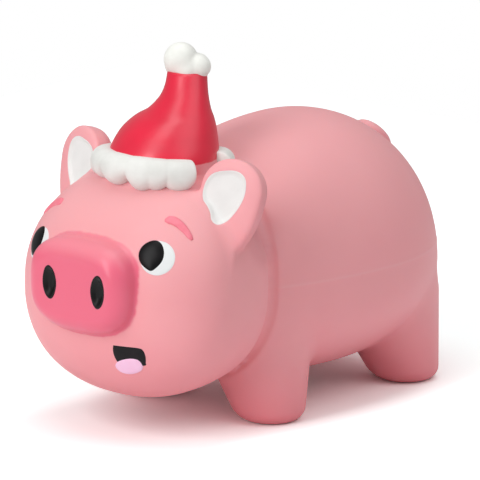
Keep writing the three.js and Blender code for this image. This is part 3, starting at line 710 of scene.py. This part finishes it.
def whitePaint(white, shade, depth):
    def build(g):
        soft = g.noise(140, 3.0)
        colour = g.blend(soft.ramp(0.35, 0.7) * 0.6, white, shade)
        normal = g.bump(soft + g.noise(420) * 0.4, depth)
        return {"Base Color": colour, "Roughness": 0.55 + soft * 0.1, "Normal": normal, "Specular IOR Level": 0.35}
    return build


def addTrim(around=360, across=30):
    middleY = hat["rearY"] - hat["base"]
    tip = math.radians(trim["tilt"])
    section = ringAngles(across)
    low, out = np.maximum(0, -np.sin(section)), np.maximum(0, np.cos(section))
    notchSize = trim["notch"][0] - trim["notch"][1] * low
    lobeSize = trim["full"][0] + trim["full"][1] * low + trim["full"][2] * out
    rings = []
    for angle in ringAngles(around):
        lobe, tuck = trimRing(angle)
        size = trim["roll"] * (notchSize + (lobeSize - notchSize) * lobe) * (1 - trim["tuckThin"] * tuck)
        radius = trim["radius"] - trim["tuckIn"] * tuck + size * np.cos(section)
        x, y, z = radius * math.cos(angle), radius * math.sin(angle), size * np.sin(section)
        y, z = y * math.cos(tip) - z * math.sin(tip), y * math.sin(tip) + z * math.cos(tip)
        middle, half, raised = trim["raised"]
        z = z + raised * max(0, 1 - abs(math.degrees(angle) - middle) / half) ** trim["round"]
        rings.append(np.stack([x, y + middleY, z + hat["crown"] + trim["rise"]], 1))
    points = np.concatenate(rings)
    faces = []
    for i in range(around):
        for j in range(across):
            k, m = (i + 1) % around, (j + 1) % across
            faces.append((i * across + j, k * across + j, k * across + m, i * across + m))

    def trimFinish(g):
        look = whitePaint(trim["white"], trim["shade"], 0.14)(g)
        spill = g.distance(trim["spillAt"]) + (g.noise(400) - 0.5) * 0.0016
        look["Base Color"] = g.blend(1 - spill.ramp(*trim["spillReach"]), look["Base Color"], trim["spillRed"])
        return look

    makePiece("hatTrim", points, faces, finishOf("trimPaint", trimFinish), ["hat_trim"])


addTrim()

pompom = {
    "centre": (0, -23.95, 118.7),
    "lumps": [((-1.3, -1.7, 0.9), 5.6), ((4.1, 1.0, -1.2), 4.0), ((-2.4, 2.6, -1.0), 4.4), ((1.4, -1.6, -1.7), 4.2),
              ((-3.3, -1.2, -1.5), 4.1), ((1.6, 3.6, -1.2), 3.6)],
    "blend": 1.0, "ball": 10,
    # painted light: a lighter white than the trim's, standing in for light the pompom does not get
    "white": paint(247, 248, 242), "shade": paint(233, 233, 227),
}


def addPompom():
    centre = np.array(pompom["centre"])

    def blob(p):
        field = np.full(len(p), farAway)
        for place, radius in pompom["lumps"]:
            field = join(field, np.linalg.norm(p - centre - np.array(place), axis=1) - radius, pompom["blend"])
        return field

    points, faces = ballGrid(lambda unit: unit * pompom["ball"] + centre, 110, 74, True)
    points = dropOn(blob, points, centre - points, 1)
    material = finishOf("pompomPaint", whitePaint(pompom["white"], pompom["shade"], 0.12))
    makePiece("hatPompom", points, faces, material, ["hat_pompom"])


addPompom()
print("hat, trim and pompom done")


# painted patches, dropped onto the skin
def ovalOutline(width, height, around=72):
    turn = ringAngles(around)
    return np.stack([np.cos(turn) * width / 2, np.sin(turn) * height / 2], 1)


patch = {
    "crowd": 1.7,  # rings lie closer towards the edge
    "start": 7, "reach": 16,
    "edgeUnder": 0.03, "backUnder": 0.4,
}


def addPatch(name, outline, place, rise, edge, material, stands, rings=14):
    point, level, upright, outward = place
    shares = 1 - (1 - np.arange(1, rings + 1) / rings) ** patch["crowd"]
    middle = outline.mean(0)
    flat = np.concatenate([[middle], *[middle + (outline - middle) * share for share in shares]])
    share = np.concatenate([[0.0], *[np.full(len(outline), s) for s in shares]])
    base = point + flat[:, :1] * level + flat[:, 1:] * upright + outward * patch["start"]
    front = rise * np.sqrt(np.maximum(0, 1 - share ** edge)) - patch["edgeUnder"]
    layers = []
    for height in (front, np.full(len(flat), -patch["backUnder"])):
        layers.append(dropOn(lambda p, h=height: casting(p) - h, base, -outward, patch["reach"]))
    count, around = len(flat), len(outline)
    faces = []
    for j in range(around):
        k = (j + 1) % around
        faces.append((0, 1 + j, 1 + k))
        faces.append((count, count + 1 + k, count + 1 + j))
        for i in range(rings - 1):
            a, b = 1 + i * around, 1 + (i + 1) * around
            faces.append((a + j, b + j, b + k, a + k))
            faces.append((count + a + j, count + a + k, count + b + k, count + b + j))
        rim = 1 + (rings - 1) * around
        faces.append((rim + j, count + rim + j, count + rim + k, rim + k))
    makePiece(name, np.concatenate(layers), faces, material, stands)


def mirrored(outline, side):
    return outline if side > 0 else (outline * np.array([-1, 1]))[::-1]


def flatPaint(name, colour, shade, rough, specular=0.5):
    def build(g):
        soft = g.noise(240)
        return {"Base Color": g.blend(soft.ramp(0.3, 0.7), colour, shade), "Roughness": rough + soft * 0.06,
                "Normal": g.bump(soft, 0.03, 0.5), "Specular IOR Level": specular}
    return finishOf(name, build)


def onFace(x, rise):
    return faceFrame(headField, (x, -140, head["centre"][2] + rise), (0, 1, 0))


face = {
    "eyes": {"left": (25.2, 16), "right": (-25, 12.7)}, "eyeWidth": 11.6, "eyeHeight": 11.5,
    "pupilShift": 1.7, "pupilLift": 0.4, "pupilDome": 0.85,
    "pupil": [(0.2, 5.4), (-2.5, 4.4), (-4.3, 2.3), (-4.6, -0.4), (-3.2, -3.0), (-0.1, -5.0), (2.0, -3.8),
              (3.7, -1.3), (3.9, 1.6), (2.6, 4.4)],
    "mouthShift": 17.4, "mouthDrop": 16.6,
    "mouth": [(-5.3, 2.5), (-4.9, 2.75), (0, 2.95), (4.0, 2.9), (5.5, 2.2), (6.1, 0), (5.8, -2.4), (5.2, -3.7),
              (0, -4.0), (-4.0, -3.7), (-5.2, -2.0), (-5.6, 0.5)],
    "tongueShift": 16.9, "tongueDrop": 20.9,
    "tongue": [(-5.6, -0.9), (-4.4, 1.2), (-2, 2.6), (1, 3.4), (3.6, 3.0), (4.6, 1.0), (3.9, -1.0), (1.6, -2.6),
               (-1.4, -3.4), (-4.2, -2.9)],
}
blackPaint = flatPaint("glossBlack", paint(12, 11, 13), paint(20, 18, 20), 0.36, 0.16)
nostrilPaint = flatPaint("nostrilBlack", paint(13, 11, 12), paint(20, 18, 19), 0.42, 0.2)
mouthPaint = flatPaint("mouthBlack", paint(26, 23, 25), paint(34, 31, 33), 0.6, 0.15)
eyeWhitePaint = finishOf("eyeWhite", whitePaint(paint(232, 235, 235), paint(226, 229, 230), 0.02))
liningPaint = finishOf("liningWhite", whitePaint(paint(236, 235, 233), paint(228, 227, 225), 0.05))
tonguePaint = flatPaint("tonguePink", paint(254, 205, 236), paint(252, 198, 230), 0.45)


def addFace():
    pupil = roundOutline(face["pupil"])
    for name, side in (("left", 1), ("right", -1)):
        x, rise = face["eyes"][name]
        place = onFace(x, rise)
        look = onFace(x - face["pupilShift"], rise + face["pupilLift"])
        addPatch(f"eyeWhite.{name}", ovalOutline(face["eyeWidth"], face["eyeHeight"]), place, 0.22, 12,
                 eyeWhitePaint, [f"eye_white_{name}"])
        addPatch(f"pupil.{name}", pupil[::-1], look, face["pupilDome"], 2.6, blackPaint,
                 [f"pupil_{name}"])
        pit = (np.insert(nostrilSpot(side), 1, snout["y"]), *np.array([[1, 0, 0], [0, 0, 1], [0, -1.0, 0]]))
        addPatch(f"nostril.{name}", mirrored(nostrilOutline[::-1] * nostril["paintGrow"], side), pit, 0.25, 20,
                 nostrilPaint, [f"nostril_{name}"], rings=18)
        centre, turn = earFrame(side)
        cup = (centre + turn @ np.array([0, -ear["front"], 0]), turn @ np.array([1.0, 0, 0]),
               turn @ np.array([0, 0, 1.0]), turn @ np.array([0, -1.0, 0]))
        addPatch(f"earLining.{name}", mirrored(liningOutline[::-1], side), cup, 0.4, 12, liningPaint,
                 [f"ear_lining_{name}"])
    mouthPlace = onFace(face["mouthShift"], -face["mouthDrop"])
    tonguePlace = onFace(face["tongueShift"], -face["tongueDrop"])
    addPatch("mouth", roundOutline(face["mouth"], 6)[::-1], mouthPlace, 0.16, 16, mouthPaint,
             ["mouth"])
    addPatch("tongue", roundOutline(face["tongue"])[::-1], tonguePlace, 0.42, 8, tonguePaint,
             ["tongue"])


addFace()
print("eyes, nostrils, mouth, tongue and ear linings done")

brow = {
    "line": [(22.0, 26.6), (24.1, 26.6), (26.7, 25.4), (29.3, 23.5), (31.7, 21.2)],
    "askew": 0.6,
    "sizes": [(0, 0.5), (0.12, 1.45), (0.3, 1.6), (0.6, 1.35), (0.9, 0.95), (1, 0.45)],
    "height": 0.5,
    "pink": paint(247, 138, 154), "shade": paint(240, 122, 140),
}


def addBrows():
    material = flatPaint("browPink", brow["pink"], brow["shade"], 0.5, 0.4)
    line = curveThrough(brow["line"], 7)
    turn = ringAngles(24)
    for name, side in (("left", 1), ("right", -1)):
        spots = [onFace(side * x, rise - brow["askew"] * (1 - side)) for x, rise in line]
        ways = np.gradient(np.array([spot[0] for spot in spots]), axis=0)
        rings = []
        for share, (point, _, _, outward), way in zip(np.linspace(0, 1, len(spots)), spots, ways):
            across = np.cross(way / np.linalg.norm(way), outward) * side
            width = np.interp(share, *zip(*brow["sizes"]))
            height = width * brow["height"] * np.sin(turn)[:, None]
            rings.append(point + width * np.cos(turn)[:, None] * across + height * outward)
        points, faces = stackRings(rings)
        makePiece(f"brow.{name}", points, faces, material, [f"brow_{name}"])


addBrows()


def plasticFinish(g):
    soft = g.noise(200)
    colour = g.blend(soft.ramp(0.3, 0.7), squeaker["white"], squeaker["shade"])
    return {"Base Color": colour, "Roughness": 0.38 + soft * 0.1, "Normal": g.bump(soft, 0.03, 0.4)}


plastic = finishOf("squeakerPlastic", plasticFinish)
for name in ("squeaker_housing", "squeaker_reed_seat", "squeaker_reed", "squeaker_lid"):
    nodes[name].data.materials.clear()
    nodes[name].data.materials.append(plastic)
print("brows and squeaker done")

# studio: a small pale floor that shows white, a white room beyond it, and three soft lamps
studio = {
    "floor": 0.36, "shown": (1.34, 1.44, 1.43, 1), "bounce": (0.82, 0.82, 0.82, 1), "sky": 0.37,
    "lamps": [  # name, place, power, width, height
        ("keyLamp", (-0.04, -1.18, 0.72), 9.9, 0.3, 1.2),
        ("topLamp", (0.0, 0.1, 1.3), 5.3, 0.5, 1.5),
        ("sideLamp", (0.8, 0.15, 1.1), 2.7, 0.9, 0.9),
    ],
    "aim": (0, 0, 0.05),
}


def addFloor():
    half = studio["floor"]
    mesh = bpy.data.meshes.new("floor")
    mesh.from_pydata([(-half, -half, 0), (half, -half, 0), (half, half, 0), (-half, half, 0)], [], [(0, 1, 2, 3)])
    floor = link("floor", mesh)

    def floorFinish(g):
        seen = g.add("ShaderNodeLightPath", output="Is Camera Ray")
        seen = seen.maths("MAXIMUM", g.add("ShaderNodeLightPath", output="Is Glossy Ray"))
        colour = g.blend(seen, studio["bounce"], studio["shown"])
        return {"Base Color": colour, "Roughness": 0.9, "Specular IOR Level": 0.0}

    mesh.materials.append(finishOf("floorPale", floorFinish))


def addWorld():
    world = bpy.data.worlds.new("studio")
    bpy.context.scene.world = world
    world.use_nodes = True
    world.node_tree.nodes.clear()
    g = Graph(world.node_tree)
    seen = g.add("ShaderNodeLightPath", output="Is Camera Ray")
    seen = seen.maths("MAXIMUM", g.add("ShaderNodeLightPath", output="Is Transmission Ray"))
    room = g.add("ShaderNodeBackground", {}, [(1, 1, 1, 1), studio["sky"]])
    white = g.add("ShaderNodeBackground", {}, [(1, 1, 1, 1), 1.0])
    out = world.node_tree.nodes.new("ShaderNodeOutputWorld")
    g.feed(out.inputs[0], g.add("ShaderNodeMixShader", {}, [seen, room, white]))


def addLamp(name, place, power, width, height):
    data = bpy.data.lights.new(name, "AREA")
    data.shape = "RECTANGLE"
    data.size = width
    data.size_y = height
    data.energy = power
    lamp = link(name, data)
    lamp.location = place
    aim = Vector(studio["aim"]) - lamp.location
    lamp.rotation_euler = aim.to_track_quat("-Z", "Y").to_euler()


addFloor()
addWorld()
for lamp in studio["lamps"]:
    addLamp(*lamp)
bpy.context.scene.view_settings.view_transform = "Standard"
print("stage and light done")
